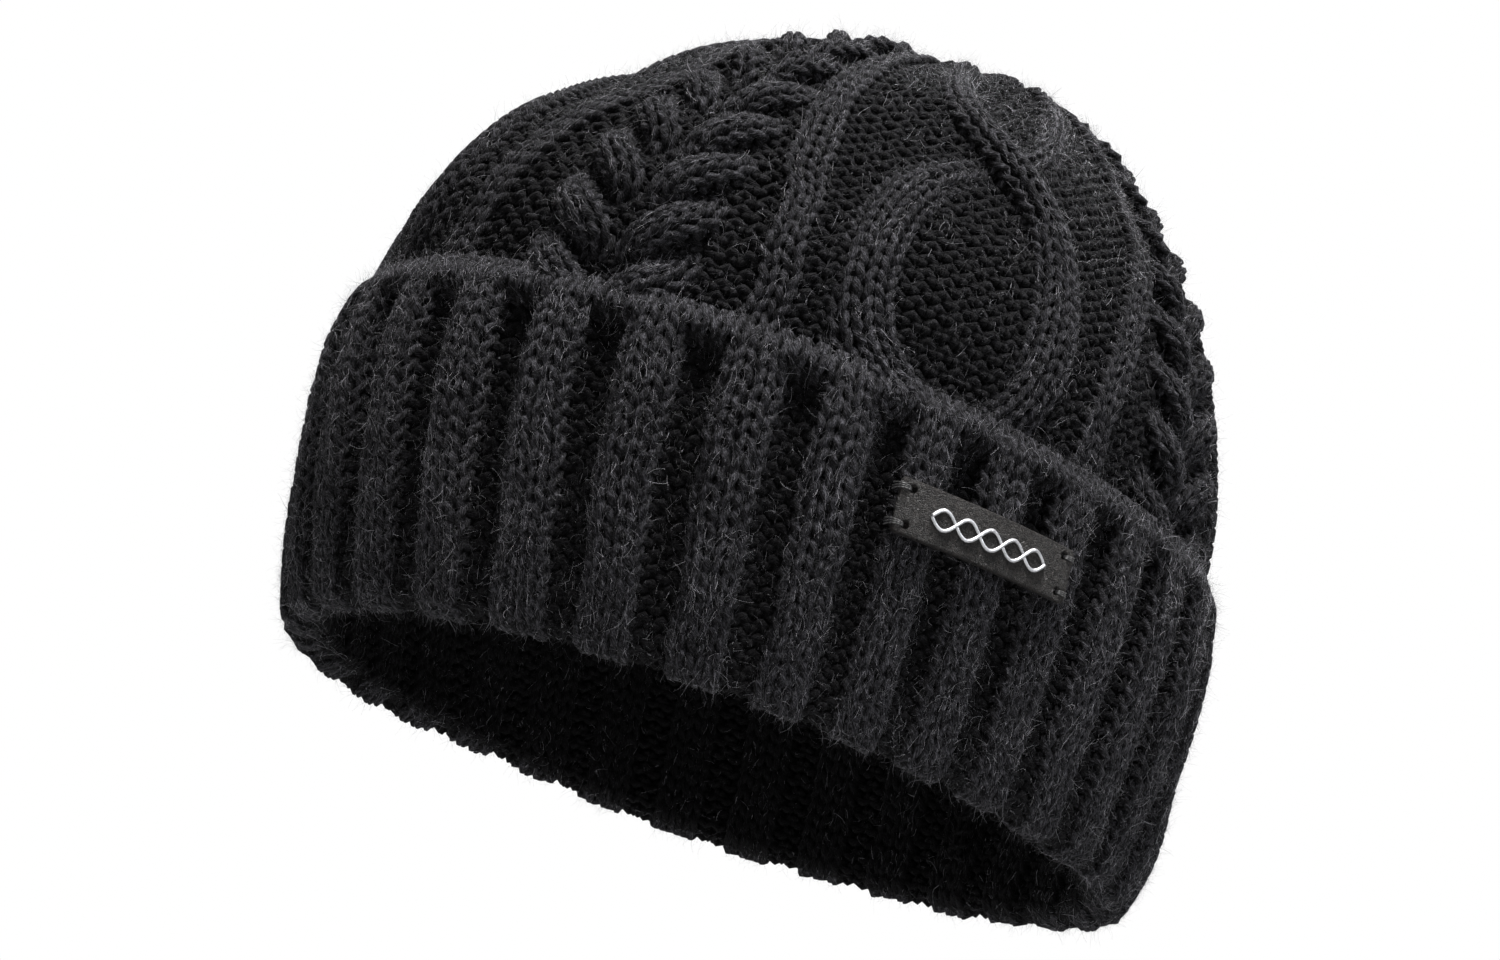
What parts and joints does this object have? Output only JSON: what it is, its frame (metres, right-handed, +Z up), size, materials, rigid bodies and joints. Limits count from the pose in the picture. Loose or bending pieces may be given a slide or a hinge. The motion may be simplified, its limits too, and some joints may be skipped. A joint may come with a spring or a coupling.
{
  "type": "knit beanie",
  "caption": "Dark cable-knit beanie as worn, with a turned-up ribbed cuff and a small leather patch tacked to the cuff.",
  "frame": {"origin": "middle of the bottom face of the hat's box, in the plane of the rolled fold that the hat stands on", "axes": "+Z up through the crown, -Y to the wearer's front, +X to the wearer's left, the side with the patch"},
  "size_m": [0.1856, 0.2108, 0.1628],
  "materials": {
    "wool_knit": "soft wool knit with a light halo of fibres",
    "wool_yarn": "plied wool yarn",
    "patch_leather": "fine grained black leather with cut edges",
    "silver_foil": "bright silver foil",
    "tack_thread": "waxed black thread",
    "label_satin": "blank black satin tape"
  },
  "bodies": {
    "root": {"crown_knit": "wool_knit", "cuff_outer": "wool_knit", "band_inner": "wool_knit", "cuff_fold": "wool_knit", "gather_yarn": "wool_yarn", "back_seam": "wool_yarn", "leather_patch": "patch_leather", "patch_ornament": "silver_foil", "patch_tack_front_lower": "tack_thread", "patch_tack_front_upper": "tack_thread", "patch_tack_rear_lower": "tack_thread", "patch_tack_rear_upper": "tack_thread", "care_label": "label_satin"}
  },
  "joints": []
}
